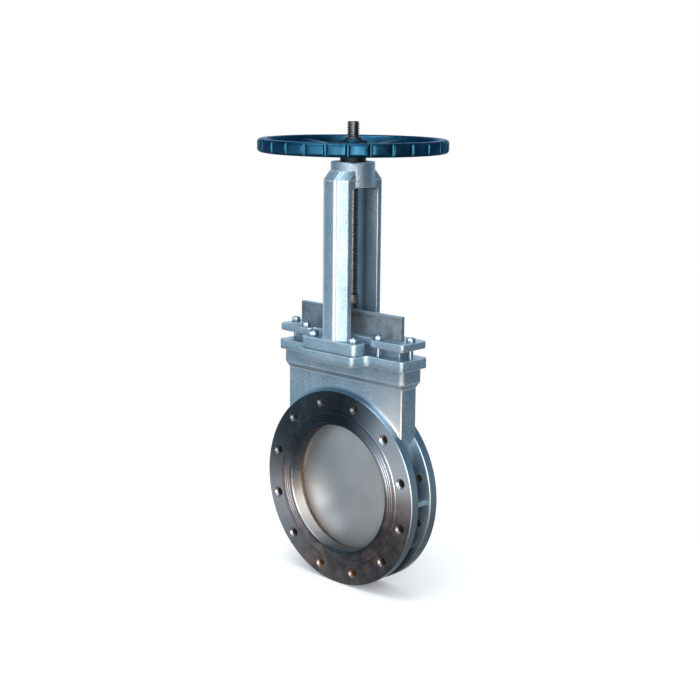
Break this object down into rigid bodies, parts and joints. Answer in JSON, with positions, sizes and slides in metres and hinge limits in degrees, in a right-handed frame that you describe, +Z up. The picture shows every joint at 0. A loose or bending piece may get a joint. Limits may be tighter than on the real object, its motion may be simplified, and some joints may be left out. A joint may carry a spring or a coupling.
{
  "type": "wafer knife gate valve",
  "caption": "Wafer knife gate valve: cast body with tapped flanges round the port, bolted gland, two-legged yoke, rising stem and a spoked handwheel that lifts the gate.",
  "frame": {"origin": "centre of the front bolt circle, on the outer face of the front flange", "axes": "+Z up the stem, +Y along the pipe from the front flange to the rear flange, X across the valve"},
  "size_m": [0.455, 0.422, 1.056],
  "materials": {
    "casting": "silver-painted, shot-blasted cast steel with machined flange faces",
    "bronze": "machined bronze",
    "packing": "braided graphite packing",
    "zinc": "zinc-plated steel",
    "dark_steel": "dark oiled steel",
    "wheel_paint": "glossy dark blue enamel",
    "gate_steel": "satin ground stainless plate",
    "stem_steel": "greased dark steel thread"
  },
  "bodies": {
    "valve_body": {"body": "casting", "front_seat_ring": "bronze", "rear_seat_ring": "bronze", "gate_guides": "bronze", "packing_ring_lower": "packing", "packing_ring_middle": "packing", "packing_ring_upper": "packing", "gland": "casting", "gland_studs": "zinc", "gland_nuts": "zinc", "yoke": "casting", "yoke_studs": "zinc", "yoke_nuts": "zinc", "lower_thrust_washer": "bronze", "upper_thrust_washer": "bronze", "bearing_cap": "dark_steel"},
    "wheel_assembly": {"handwheel": "wheel_paint", "stem_nut": "bronze", "wheel_key": "dark_steel", "wheel_lock_nut": "wheel_paint"},
    "gate_assembly": {"gate": "gate_steel", "clevis": "dark_steel", "clevis_bolt": "zinc", "clevis_nut": "zinc", "stem": "stem_steel", "stem_pin": "dark_steel"}
  },
  "joints": [
    {"name": "handwheel_turn", "type": "hinge", "parent": "valve_body", "child": "wheel_assembly", "pos_m": [0, 0.0425, 0.774], "axis": [0, 0, 1], "range_deg": [0, 19584]},
    {"name": "gate_lift", "type": "slide", "parent": "valve_body", "child": "gate_assembly", "axis": [0, 0, 1], "range_m": [0, 0.272]}
  ],
  "couplings": [
    {"joint": "gate_lift", "follows": "handwheel_turn", "m_per_rad": 0.00079577}
  ]
}
